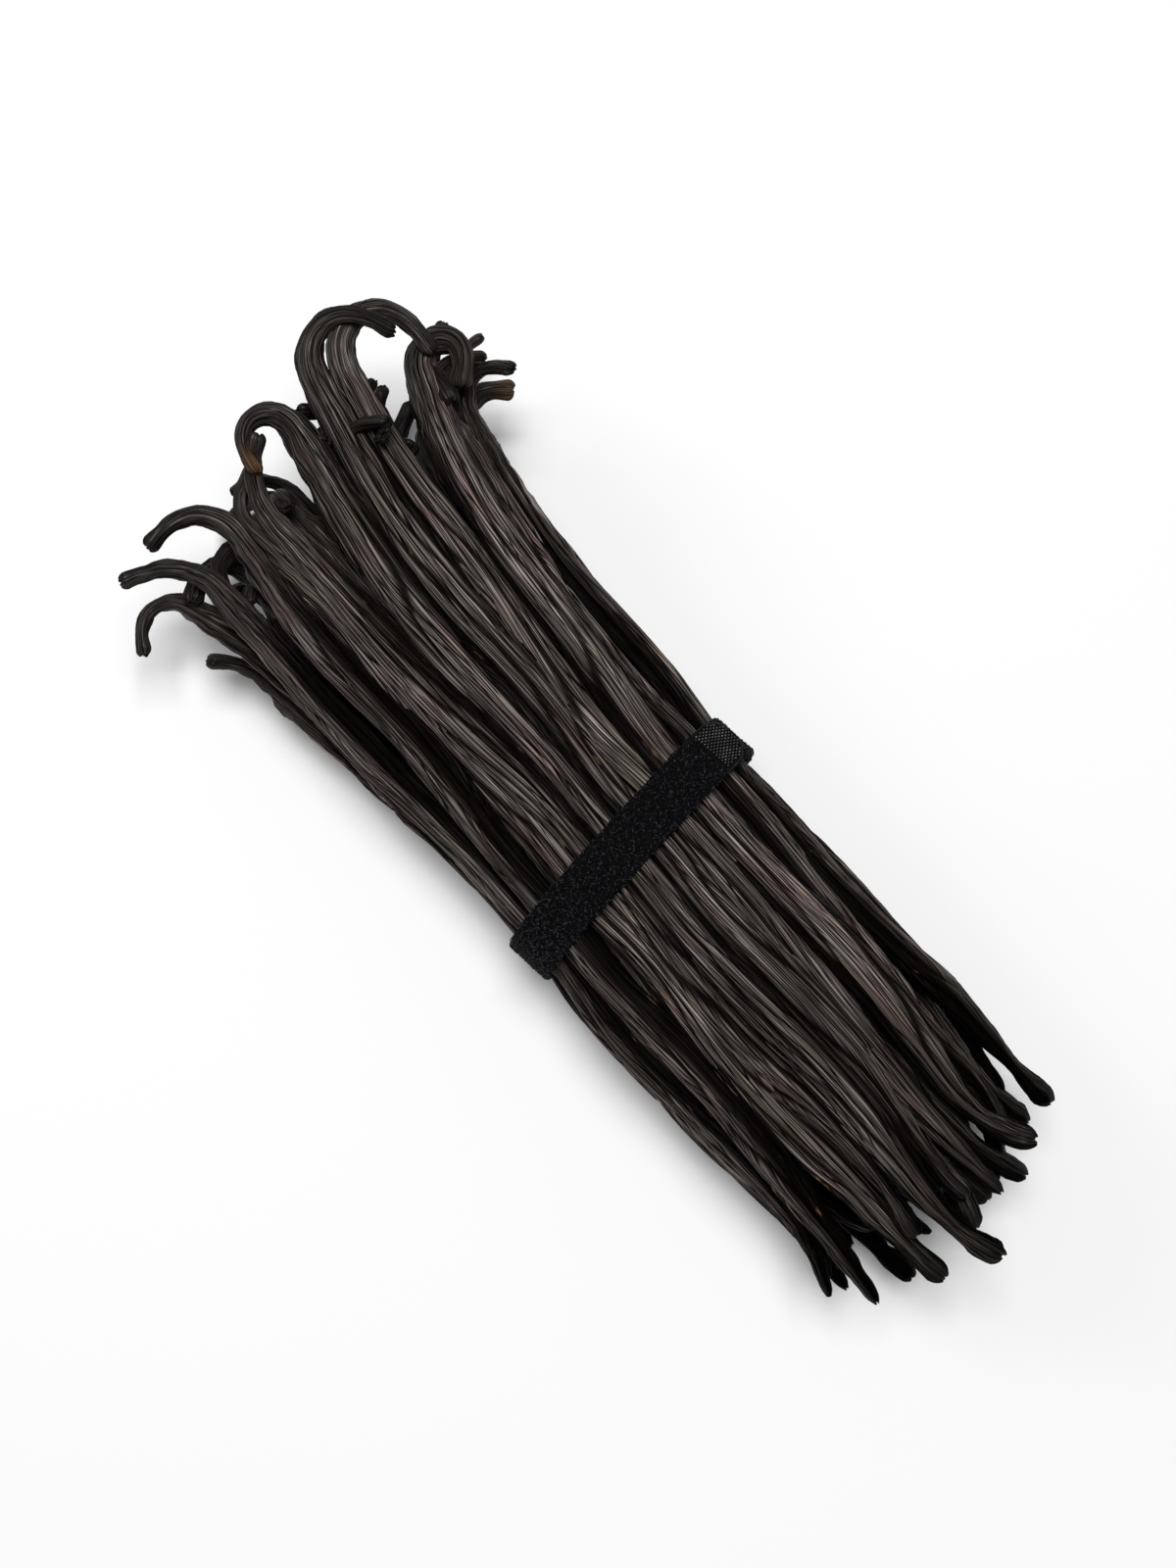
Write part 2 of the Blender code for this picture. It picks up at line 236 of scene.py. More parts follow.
def end_point(x, angle, share, wide, tall, drift):
    """A pod's end at x, where the bundle is wider or taller and lies on the surface below."""
    y, z = ring_point(angle, share)
    return Vector((x, drift + wide * y, LOWEST_LINE + tall * (z - LOWEST_WAIST_LINE)))


def stalk_bearing(angle, chance):
    """Stalks bend outwards, but those underneath can only bend sideways."""
    if abs(angle) > 110:
        angle = math.copysign(90, angle)
    return angle + chance.gauss(0, 30)


def plan_pod(ring, slot, chance):
    """One pod in its slot of a ring, with the chance differences between neighbours."""
    count, size = RINGS[ring]
    step = 360 / count
    angle = -180 + (slot + 0.5 + chance.uniform(-0.1, 0.1)) * step
    blossom = end_point(
        BLOSSOM_REACH + chance.uniform(-0.010, 0.005),
        angle + chance.uniform(-0.4, 0.4) * step,
        size + chance.uniform(-0.07, 0.04),
        BLOSSOM_SPREAD,
        BLOSSOM_RISE,
        0,
    )
    neck = end_point(
        -NECK_REACH + chance.uniform(-0.006, 0.008),
        angle + chance.uniform(-0.4, 0.4) * step,
        size + chance.uniform(-0.09, 0.05),
        NECK_SPREAD,
        NECK_RISE,
        NECK_DRIFT,
    )
    return Pod(
        ring=ring,
        waist=ring_point(angle, size),
        blossom=blossom,
        neck=neck,
        sway=(chance.uniform(0, 360), chance.uniform(0, 360)),
        tip=chance.choice(("blunt", "blunt", "pointed", "wedge", "knob")),
        stalk=chance.uniform(0.014, 0.028),
        turn=chance.triangular(50, 200, 110),
        bearing=stalk_bearing(angle, chance),
        stout=chance.uniform(0.56, 0.74),
        girth=chance.uniform(0.90, 1.12),
        angle=angle,
        sink=0.0,
        crook=(0.0, 0.0),
    )


def set_by_hand(pod, slot):
    """A pod along the top, with its ends, its stalk and its tip as they are listed."""
    facts = dict(TOP_PODS.get(slot, {}))
    for end in ("blossom", "neck"):
        if end in facts:
            facts[end] = Vector((*facts[end], getattr(pod, end).z))
    facts["tip"] = TOP_TIPS.get(slot, pod.tip)
    facts["stout"] = TOP_STOUTNESS.get(slot, pod.stout)
    return pod._replace(**facts)


def plan_pods():
    """Every pod of the bundle, from the outer ring inwards."""
    chance = random.Random(SEED)
    outer = [set_by_hand(plan_pod(0, slot, chance), slot) for slot in range(RINGS[0][0])]
    outer = [pod._replace(sink=SINKS.get(slot, 0.0)) for slot, pod in enumerate(outer)]
    inner = [
        plan_pod(ring, slot, chance) for ring in range(1, len(RINGS)) for slot in range(RINGS[ring][0])
    ]
    pods = outer + inner
    crooks = [(chance.gauss(0, CROOK), chance.gauss(0, CROOK / 2)) for _ in pods]
    return [pod._replace(crook=crook) for pod, crook in zip(pods, crooks)]


def body_point(pod, x):
    """The pod's middle line where it crosses the plane at x, between its two ends."""
    end, flare = (pod.blossom, BLOSSOM_FLARE) if x > 0 else (pod.neck, NECK_FLARE)
    share = (x / end.x) ** flare
    freedom = 1 - math.exp(-((x / PINCH_LENGTH) ** 2))
    swell = 1 + PINCH * freedom * (1 - share)
    waist_y, waist_z = pod.waist
    y = waist_y * swell
    z = CENTRE_HEIGHT + (waist_z - CENTRE_HEIGHT) * swell
    y += (end.y - y) * share + 0.0009 * freedom * math.sin(math.radians(pod.sway[0]) + x / 0.012)
    z += (end.z - z) * share + 0.0007 * freedom * math.sin(math.radians(pod.sway[1]) + x / 0.014)
    y -= pod.sink * freedom * math.sin(math.radians(pod.angle))
    z -= pod.sink * freedom * math.cos(math.radians(pod.angle))
    bent = max(0.0, 1 - (pod.blossom.x - x) / CROOK_LENGTH) ** 2
    y += pod.crook[0] * bent
    z += pod.crook[1] * bent
    return Vector((x, y, max(z, LOWEST_LINE)))


def tip_girth(tip, distance):
    """The girth of a blossom end at this distance from it, as a share of the body's."""
    profile = TIPS[tip]
    for (near, thin), (far, thick) in zip(profile, profile[1:]):
        if distance < far:
            part = (distance - near) / (far - near)
            return thin + (thick - thin) * part * part * (3 - 2 * part)
    return 1.0


def stalk_line(pod, before, point):
    """The stalk goes on the way the body was going, bends over, and ends nearly straight."""
    heading = (point - before).normalized()
    bearing = math.radians(pod.bearing)
    side = Vector((0, math.sin(bearing), math.cos(bearing)))
    hinge = heading.cross(side).normalized()
    line = []
    bent = 0.0
    for step in range(1, STALK_STEPS + 1):
        along = step / STALK_STEPS
        part = min(1.0, max(0.0, (along - STALK_BEND[0]) / (STALK_BEND[1] - STALK_BEND[0])))
        part = part * part * (3 - 2 * part)
        bend, bent = pod.turn * (part - bent), part
        heading = Quaternion(hinge, math.radians(bend)) @ heading
        point = point + heading * (pod.stalk / STALK_STEPS)
        point.z = max(point.z, LOWEST_LINE)
        girth = 0.80 + (pod.stout - 0.80) * min(1.0, along * 1.6)
        girth *= share_at(pod.stalk * (1 - along), STALK_END)
        line.append((point.copy(), pod.girth * girth))
    return line


def pod_line(pod):
    """[(point, girth share)] from the blossom end along the body and round the curled stalk."""
    tip_length = TIPS[pod.tip][-1][0]
    first = pod.blossom.x - tip_length
    places = [pod.blossom.x - tip_length * (step / TIP_STEPS) ** 1.4 for step in range(TIP_STEPS)]
    places += [first + (pod.neck.x - first) * step / BODY_STEPS for step in range(BODY_STEPS + 1)]
    line = []
    for x in places:
        narrowing = min(1.0, 0.80 + 0.20 * (x - pod.neck.x) / 0.030)
        girth = min(tip_girth(pod.tip, pod.blossom.x - x), narrowing)
        girth *= 1 - SQUEEZE * math.exp(-((x / SQUEEZE_LENGTH) ** 2))
        line.append((body_point(pod, x), pod.girth * girth))
    return line + stalk_line(pod, line[-2][0], line[-1][0])


# ---- small tools ----


def pick_none():
    """Leaves nothing selected, so that the next operator acts on its own piece alone."""
    bpy.ops.object.select_all(action="DESELECT")


def pick(piece):
    pick_none()
    piece.select_set(True)
    bpy.context.view_layer.objects.active = piece


def apply_all(piece):
    """Applies the piece's modifiers in their order."""
    pick(piece)
    for name in [modifier.name for modifier in piece.modifiers]:
        bpy.ops.object.modifier_apply(modifier=name)


def copy_of(piece, name):
    """A copy of the piece with a mesh of its own."""
    made = piece.copy()
    made.data = piece.data.copy()
    made.name = name
    bpy.context.scene.collection.objects.link(made)
    return made


def join(pieces, name):
    """Joins the pieces into one, under this name."""
    pick_none()
    for piece in pieces:
        piece.select_set(True)
    bpy.context.view_layer.objects.active = pieces[0]
    bpy.ops.object.join()
    pieces[0].name = name
    return pieces[0]


def places_of(mesh):
    """The mesh's vertices as an array of (x, y, z)."""
    flat = np.empty(len(mesh.vertices) * 3, dtype=np.float32)
    mesh.vertices.foreach_get("co", flat)
    return flat.reshape(-1, 3)


def put_places(mesh, places):
    mesh.vertices.foreach_set("co", places.astype(np.float32).ravel())
    mesh.update()


def put_attribute(mesh, name, kind, values):
    """Writes one value, or one vector, for each vertex."""
    attribute = mesh.attributes.get(name) or mesh.attributes.new(name, kind, "POINT")
    field = "vector" if kind == "FLOAT_VECTOR" else "value"
    attribute.data.foreach_set(field, np.asarray(values, dtype=np.float32).ravel())


# ---- the straight pod ----


def add_ring(near, far):
    """The first ring of a pod in the YZ plane, with most of its edges on the side that faces out."""
    edges = near * 360 // NEAR_SIDE
    bpy.ops.mesh.primitive_circle_add(
        vertices=edges, radius=1, rotation=(0, math.pi / 2, 0), location=(0, 0, 0)
    )
    ring = bpy.context.object
    bpy.ops.object.transform_apply(location=True, rotation=True, scale=True)
    bpy.ops.object.mode_set(mode="EDIT")
    bpy.ops.mesh.select_all(action="DESELECT")
    bpy.ops.mesh.select_mode(type="VERT")
    bpy.ops.object.mode_set(mode="OBJECT")
    kept_every = max(1, (edges - near) // far)
    hidden = sorted(
        (v for v in ring.data.vertices if v.co.z < math.cos(math.radians(NEAR_SIDE / 2)) - 1e-4),
        key=lambda v: math.atan2(v.co.y, -v.co.z),
    )
    for place, vertex in enumerate(hidden):
        vertex.select = place % kept_every != 0
    bpy.ops.object.mode_set(mode="EDIT")
    bpy.ops.mesh.dissolve_verts()
    bpy.ops.object.mode_set(mode="OBJECT")
    places = places_of(ring.data)
    boxy = (np.abs(places[:, 1:]) ** BOXINESS).sum(axis=1, keepdims=True) ** (-1 / BOXINESS)
    places[:, 1:] *= boxy * (POD_WIDTH / 2, POD_DEPTH / 2)
    put_places(ring.data, places)
    bpy.ops.object.mode_set(mode="EDIT")
    bpy.ops.mesh.select_all(action="SELECT")
    return ring


def ring_steps(grade):
    """The distances from each ring of a straight pod to the next."""
    spans = (
        (TIP_LENGTH, grade["tip"]),
        (POD_LENGTH - TIP_LENGTH - STALK_LENGTH, grade["body"]),
        (STALK_LENGTH, grade["stalk"]),
    )
    return [span / round(span / step) for span, step in spans for _ in range(round(span / step))]


def close_end(outwards):
    """Closes the open ring that is selected with a rounded rim round a sunken scar."""
    for push, size in END_STEPS:
        bpy.ops.mesh.extrude_region_move(TRANSFORM_OT_translate={"value": (outwards * push, 0, 0)})
        bpy.ops.transform.resize(value=(1, size, size))
    bpy.ops.mesh.merge(type="CENTER")


def share_at(distance, profile):
    """The value of a profile of (metres, value) at each distance, level beyond its last one."""
    return np.interp(distance, [near for near, _ in profile], [value for _, value in profile])


def weigh_relief(pod):
    """Marks where the skin is wrinkled, gently towards its ends, and where the ends are gnarled."""
    x = places_of(pod.data)[:, 0]
    wrinkled = np.minimum(share_at(x, RELIEF_AT_TIP), share_at(POD_LENGTH - x, RELIEF_AT_STALK))
    gnarled = np.maximum(share_at(x, GNARL_AT_TIP), share_at(POD_LENGTH - x, GNARL_AT_STALK))
    for name, weights in (("relief", wrinkled), ("gnarl", gnarled)):
        group = pod.vertex_groups.new(name=name)
        for index, weight in enumerate(weights):
            group.add([index], float(weight), "REPLACE")


def straight_pod(name, grade):
    """A smooth straight pod: rings extruded along X from the blossom end, closed at both ends."""
    pick_none()
    pod = add_ring(grade["near"], grade["far"])
    for step in ring_steps(grade):
        bpy.ops.mesh.extrude_region_move(TRANSFORM_OT_translate={"value": (step, 0, 0)})
    close_end(1)
    bpy.ops.mesh.select_all(action="DESELECT")
    bpy.ops.object.mode_set(mode="OBJECT")
    for edge in pod.data.edges:
        edge.select = all(abs(pod.data.vertices[v].co.x) < 1e-6 for v in edge.vertices)
    bpy.ops.object.mode_set(mode="EDIT")
    bpy.ops.mesh.select_mode(type="EDGE")
    close_end(-1)
    bpy.ops.mesh.select_all(action="SELECT")
    bpy.ops.mesh.normals_make_consistent(inside=False)
    bpy.ops.object.mode_set(mode="OBJECT")
    bpy.ops.object.shade_smooth()
    pod.name = name
    weigh_relief(pod)
    return pod


# ---- the skin's relief ----


def unrolled(smooth):
    """Each vertex on the skin unrolled flat: metres along the pod, and round it from its outer side."""
    turn = np.arctan2(smooth[:, 1] / POD_WIDTH, smooth[:, 2] / POD_DEPTH)
    return smooth[:, 0], turn * (POD_WIDTH + POD_DEPTH) / 4


def relief_tree(name, relief):
    """Nodes that push the skin in or out by one relief, and keep how deep it lies there."""
    tree = bpy.data.node_groups.new("relief_" + name, "GeometryNodeTree")
    tree.interface.new_socket("Geometry", in_out="INPUT", socket_type="NodeSocketGeometry")
    tree.interface.new_socket("Geometry", in_out="OUTPUT", socket_type="NodeSocketGeometry")
    nodes = Nodes(tree)
    entry = nodes.add("NodeGroupInput")
    leave = nodes.add("NodeGroupOutput")
    place = nodes.add("ShaderNodeSeparateXYZ")
    nodes.put(place.inputs[0], nodes.stored("skin_space", "FLOAT_VECTOR"))
    along, across = place.outputs[0], place.outputs[1]
    if relief["furrow"]:
        height = nodes.ramp(
            nodes.long_lines(along, across, relief["wide"], relief["long"]), 0.0, relief["furrow"]
        )
    else:
        height = nodes.noise(nodes.flat(along, across, relief["long"], relief["wide"]), detail=1.0)
    push = nodes.math("MULTIPLY", nodes.math("SUBTRACT", height, relief["middle"]), relief["deep"])
    push = nodes.math("MULTIPLY", push, nodes.stored(relief["where"], "FLOAT"))
    offset = nodes.add("ShaderNodeVectorMath", operation="SCALE")
    nodes.put(offset.inputs[0], nodes.add("GeometryNodeInputNormal").outputs[0])
    nodes.put(offset.inputs["Scale"], push)
    mark = nodes.add("GeometryNodeStoreNamedAttribute", data_type="FLOAT", domain="POINT")
    nodes.put(mark.inputs["Geometry"], entry.outputs[0])
    nodes.put(mark.inputs["Name"], name)
    depth = nodes.math("SUBTRACT", 1.0, height)
    depth = nodes.math("MULTIPLY", depth, nodes.stored(relief["where"], "FLOAT"))
    nodes.put(mark.inputs["Value"], depth)
    moved = nodes.add("GeometryNodeSetPosition")
    nodes.put(moved.inputs["Geometry"], mark.outputs[0])
    nodes.put(moved.inputs["Offset"], offset.outputs[0])
    nodes.put(leave.inputs[0], moved.outputs[0])
    return tree


def bend_along(pod, line, tilt):
    """Bends the straight pod along its line, as thick at each point as the line says."""
    curve = bpy.data.curves.new("line", "CURVE")
    curve.dimensions = "3D"
    curve.twist_mode = "MINIMUM"
    curve.use_radius = True
    curve.use_stretch = True
    curve.use_deform_bounds = True
    spline = curve.splines.new("POLY")
    spline.points.add(len(line) - 1)
    for point, (place, girth), turn in zip(spline.points, line, tilt):
        point.co = (*place, 1)
        point.radius = girth
        point.tilt = turn
    guide = bpy.data.objects.new("line", curve)
    bpy.context.scene.collection.objects.link(guide)
    modifier = pod.modifiers.new("bend", "CURVE")
    modifier.object = guide
    modifier.deform_axis = "POS_X"
    apply_all(pod)
    bpy.data.objects.remove(guide)


def tilts(pod, count, chance):
    """How far the pod is turned about its line at each point, so that its flat side faces out."""
    start = math.radians(pod.angle + chance.uniform(-SELF_TURN, SELF_TURN))
    drift = math.radians(chance.uniform(-SELF_TURN, SELF_TURN))
    return [start + drift * step / count for step in range(count)]


def rest_on_floor(piece):
    """Presses flat whatever would reach below the floor."""
    places = places_of(piece.data)
    places[:, 2] = np.maximum(places[:, 2], LOWEST_SKIN)
    put_places(piece.data, places)


def flank_share(smooth):
    """0 on the side of the straight pod that faces out, up to 1 where it presses on its neighbours, where the
    skin is darkened as painted shade.
    """
    round_it = np.degrees(np.arctan2(np.abs(smooth[:, 1]) / POD_WIDTH, smooth[:, 2] / POD_DEPTH))
    return np.clip((round_it - FLANK_FROM) / (FLANK_FULL - FLANK_FROM), 0, 1)


def wrinkled_pod(master, pod, number, reliefs, chance):
    """One pod of the bundle: a copy of the straight one, wrinkled, then bent along its line."""
    made = copy_of(master, f"pod_{number}")
    smooth = places_of(made.data)
    mesh = made.data
    along, across = unrolled(smooth)
    space = np.stack(
        (along + chance.uniform(-2, 2), across + chance.uniform(-2, 2), np.zeros(len(smooth))), axis=1
    )
    put_attribute(mesh, "skin_space", "FLOAT_VECTOR", space)
    for name, tree in reliefs.items():
        made.modifiers.new(name, "NODES").node_group = tree
    apply_all(made)
    mesh = made.data
    to_stalk = POD_LENGTH - smooth[:, 0]
    # Painted shade on the sides of the pod, with less of it towards the stalk.
    put_attribute(mesh, "painted_flank_shade", "FLOAT", flank_share(smooth) * share_at(to_stalk, FLANK_AT_STALK))
    tone_and_painted_light = share_at(smooth[:, 0], TONE_AT_TIP) * share_at(to_stalk, TONE_AT_STALK)
    tone_and_painted_light = tone_and_painted_light * chance.uniform(*POD_TONES)
    # Pods inside the bundle are darkened as painted shade.
    if pod.ring:
        tone_and_painted_light = tone_and_painted_light * INNER_PAINTED_SHADE
    put_attribute(mesh, "tone_and_painted_light", "FLOAT", tone_and_painted_light)
    dry = 1.0 if chance.random() < WOODY_SHARE else 0.0
    put_attribute(mesh, "dryness", "FLOAT", dry * np.clip(1 - to_stalk / 0.0045, 0, 1))
    line = pod_line(pod)
    bend_along(made, line, tilts(pod, len(line), chance))
    rest_on_floor(made)
    return made


def pod_grade(pod):
    """How finely a pod is modelled, by how much of it shows."""
    if pod.ring == 0:
        return "top" if abs(pod.angle) < 118 else "under"
    return "second" if pod.ring == 1 else "inner"


def make_pods():
    """All the pods, in a few pieces: the outer ring in three, then the rings inside it."""
    chance = random.Random(SEED + 1)
    masters = {name: straight_pod("straight_" + name, grade) for name, grade in GRADES.items()}
    reliefs = {name: relief_tree(name, relief) for name, relief in RELIEF.items()}
    groups = {}
    for number, pod in enumerate(plan_pods()):
        grade = pod_grade(pod)
        made = wrinkled_pod(masters[grade], pod, number, reliefs, chance)
        group = "pods_" + grade
        if grade == "top":
            group += "_left" if pod.angle < -38 else "_middle" if pod.angle < 38 else "_right"
        groups.setdefault(group, []).append(made)
    for master in masters.values():
        bpy.data.objects.remove(master)
    return [join(members, name) for name, members in groups.items()]


def make_core():
    """The middle of the bundle, which fills what little space the pods leave; its near black is painted
    shade.
    """
    pick_none()
    bpy.ops.mesh.primitive_uv_sphere_add(segments=48, ring_count=32, radius=1)
    bpy.ops.object.mode_set(mode="EDIT")
    bpy.ops.transform.rotate(value=math.pi / 2, orient_axis="Y", center_override=(0, 0, 0))
    bpy.ops.object.mode_set(mode="OBJECT")
    core = bpy.context.object
    core.scale = (CORE_REACH, 0.66 * WAIST_HALF_WIDTH, 0.64 * WAIST_HALF_HEIGHT)
    core.location = (0, 0, CENTRE_HEIGHT)
    bpy.ops.object.transform_apply(location=True, rotation=True, scale=True)
    bpy.ops.object.shade_smooth()
    core.name = "pods_core"
    return core


# ---- the strap ----

LAP_START = 28.0
LAP_FULL = 44.0
STRAP_END = 61.0
TAB_LENGTH = 0.0082
TAB_STIFFNESS = 0.65
STRAP_STEPS = 420
STRAP_TILT = 0.0
LOOP_SIZE = 0.00029
LOOP_THREAD = 0.000075
LOOPS_PER_AREA = 3.1e6
DOT_PITCH = 0.00068
DOT_SIZE = 0.00019


def strap_path():
    """[(x, y, z)] along the middle of the strap's thickness, from its hidden end round to its tab."""
    path = []
    skew = math.radians(STRAP_SKEW)
    first, last = LAP_START + 6, STRAP_END + 360
    for step in range(STRAP_STEPS + 1):
        angle = first + (last - first) * step / STRAP_STEPS
        lap = min(1.0, max(0.0, (angle - 360 - 14) / (LAP_FULL - 14)))
        lap = lap * lap * (3 - 2 * lap)
        grown = GAP + (STRAP_THICKNESS - GAP) / 2 + lap * STRAP_THICKNESS
        y, z = oval(angle, WAIST_HALF_WIDTH + grown, WAIST_HALF_HEIGHT + grown)
        z = max(CENTRE_HEIGHT + z, (STRAP_THICKNESS - GAP) / 2)
        path.append(Vector((-y * math.sin(skew), y * math.cos(skew), z)))
    return lifted(path)


def lifted(path):
    """The same path with the stiff tab at its end standing off, nearly straight."""
    steps = [b - a for a, b in zip(path, path[1:])]
    left = 0.0
    first = len(steps) - 1
    while left < TAB_LENGTH:
        left += steps[first].length
        first -= 1
    ahead = steps[first].normalized()
    for step in range(first + 1, len(steps)):
        size = steps[step].length
        steps[step] = steps[step].lerp(ahead * size, TAB_STIFFNESS).normalized() * size
    made = [path[0]]
    for step in steps:
        made.append(made[-1] + step)
    return made


def strap_bar(length):
    """The strap laid out flat along X: a long bar with soft edges and a rounded tab at its end."""
    pick_none()
    bpy.ops.mesh.primitive_cube_add(
        size=1, scale=(length, STRAP_WIDTH, STRAP_THICKNESS - GAP), location=(length / 2, 0, 0)
    )
    bar = bpy.context.object
    bpy.ops.object.transform_apply(location=True, rotation=True, scale=True)
    bar.name = "strap_band"
    bpy.ops.object.mode_set(mode="EDIT")
    bpy.ops.mesh.select_all(action="DESELECT")
    bpy.ops.object.mode_set(mode="OBJECT")
    for edge in bar.data.edges:
        a, b = (bar.data.vertices[v].co for v in edge.vertices)
        edge.select = abs(a.x - b.x) < 1e-6 and abs(a.y - b.y) < 1e-6 and a.x > length / 2
    bpy.ops.object.mode_set(mode="EDIT")
    bpy.ops.mesh.select_mode(type="EDGE")
    bpy.ops.mesh.bevel(offset=STRAP_WIDTH * 0.49, segments=9, affect="EDGES")
    bpy.ops.object.mode_set(mode="OBJECT")
    edges = bar.modifiers.new("soft_edges", "BEVEL")
    edges.width = 0.00055
    edges.segments = 3
    edges.limit_method = "ANGLE"
    edges.angle_limit = math.radians(50)
    apply_all(bar)
    bpy.ops.object.mode_set(mode="EDIT")
    count = int(length / 0.0011)
    for cut in range(1, count):
        bpy.ops.mesh.select_all(action="SELECT")
        bpy.ops.mesh.bisect(plane_co=(length * cut / count, 0, 0), plane_no=(1, 0, 0))
    for cut in (-0.0030, -0.0015, 0.0, 0.0015, 0.0030):
        bpy.ops.mesh.select_all(action="SELECT")
        bpy.ops.mesh.bisect(plane_co=(0, cut, 0), plane_no=(0, 1, 0))
    bpy.ops.object.mode_set(mode="OBJECT")
    return bar


def scatter_group(loop, until):
    """Nodes that scatter copies of the loop over the upper faces, as far along X as this."""
    tree = bpy.data.node_groups.new("scatter_loops", "GeometryNodeTree")
    tree.interface.new_socket("Geometry", in_out="INPUT", socket_type="NodeSocketGeometry")
    tree.interface.new_socket("Geometry", in_out="OUTPUT", socket_type="NodeSocketGeometry")
    nodes = Nodes(tree)
    entry = nodes.add("NodeGroupInput")
    leave = nodes.add("NodeGroupOutput")
    upper = nodes.add("ShaderNodeSeparateXYZ")
    nodes.put(upper.inputs[0], nodes.add("GeometryNodeInputNormal").outputs[0])
    place = nodes.add("ShaderNodeSeparateXYZ")
    nodes.put(place.inputs[0], nodes.add("GeometryNodeInputPosition").outputs[0])
    up = nodes.math("GREATER_THAN", upper.outputs[2], 0.2)
    before = nodes.math("LESS_THAN", place.outputs[0], until)
    points = nodes.add("GeometryNodeDistributePointsOnFaces")
    nodes.put(points.inputs["Mesh"], entry.outputs[0])
    nodes.put(points.inputs["Selection"], nodes.math("MULTIPLY", up, before))
    nodes.put(points.inputs["Density"], LOOPS_PER_AREA)
    nodes.put(points.inputs["Seed"], SEED)
    turn = nodes.add("FunctionNodeRandomValue", data_type="FLOAT_VECTOR")
    nodes.put(turn.inputs[0], (-0.7, -0.7, 0.0))
    nodes.put(turn.inputs[1], (0.7, 0.7, 2 * math.pi))
    size = nodes.add("FunctionNodeRandomValue", data_type="FLOAT")
    nodes.put(size.inputs[2], 0.65)
    nodes.put(size.inputs[3], 1.25)
    info = nodes.add("GeometryNodeObjectInfo")
    nodes.put(info.inputs[0], loop)
    copies = nodes.add("GeometryNodeInstanceOnPoints")
    nodes.put(copies.inputs["Points"], points.outputs["Points"])
    nodes.put(copies.inputs["Instance"], info.outputs["Geometry"])
    nodes.put(copies.inputs["Rotation"], turn.outputs[0])
    nodes.put(copies.inputs["Scale"], size.outputs[1])
    real = nodes.add("GeometryNodeRealizeInstances")
    nodes.put(real.inputs[0], copies.outputs[0])
    nodes.put(leave.inputs[0], real.outputs[0])
    return tree


def strap_loops(bar, until, finish):
    """The pile: tiny upright loops of thread scattered over the outer side of the flat strap."""
    pick_none()
    bpy.ops.mesh.primitive_torus_add(
        major_segments=6, minor_segments=3, major_radius=LOOP_SIZE, minor_radius=LOOP_THREAD,
        rotation=(math.pi / 2, 0, 0),
    )
    loop = bpy.context.object
    bpy.ops.object.transform_apply(location=True, rotation=True, scale=True)
    bpy.ops.object.shade_smooth()
    loop.data.materials.append(finish)
    loops = copy_of(bar, "strap_loops")
    modifier = loops.modifiers.new("scatter", "NODES")
    modifier.node_group = scatter_group(loop, until)
    apply_all(loops)
    loops.data.materials.clear()
    loops.data.materials.append(finish)
    bpy.data.objects.remove(loop)
    return loops


def tab_dots(length, finish):
    """The rows of little studs on the tab, set corner to corner and cut off at its round end."""
    pick_none()
    bpy.ops.mesh.primitive_cone_add(
        vertices=6, radius1=DOT_SIZE, radius2=DOT_SIZE * 0.55, depth=DOT_SIZE * 1.2
    )
    stud = bpy.context.object
    bpy.ops.object.shade_smooth()
    radius = STRAP_WIDTH / 2
    dots = []
    rows = int(TAB_LENGTH / DOT_PITCH)
    for row in range(rows):
        for place in range(-8, 9):
            x = length - 0.0006 - row * DOT_PITCH * 0.87
            y = (place + 0.5 * (row % 2)) * DOT_PITCH
            past = max(0.0, x - (length - radius))
            if abs(y) > radius - 0.0007 or math.hypot(past, y) > radius - 0.0007:
                continue
            dot = copy_of(stud, "dot")
            dot.location = (x, y, (STRAP_THICKNESS - GAP) / 2 + DOT_SIZE * 0.4)
            dots.append(dot)
    bpy.data.objects.remove(stud)
    dots = join(dots, "strap_dots")
    bpy.ops.object.transform_apply(location=True, rotation=True, scale=True)
    dots.data.materials.append(finish)
    return dots


def make_strap(web, pile, tab, studs):
    """The strap with its pile and its studded tab, made flat and then laid round the waist."""
    path = strap_path()
    length = sum(math.dist(a, b) for a, b in zip(path, path[1:]))
    bar = strap_bar(length)
    loops = strap_loops(bar, length - TAB_LENGTH, pile)
    dots = tab_dots(length, studs)
    bar.data.materials.append(web)
    bar.data.materials.append(tab)
    for face in bar.data.polygons:
        face.material_index = int(face.center.x > length - TAB_LENGTH)
    strap = join([bar, loops, dots], "strap_band")
    put_attribute(strap.data, "strap_space", "FLOAT_VECTOR", places_of(strap.data))
    line = [(Vector(place), 1.0) for place in path]
    bend_along(strap, line, [STRAP_TILT] * len(line))
    rest_on_floor(strap)
    return strap


# ---- materials ----


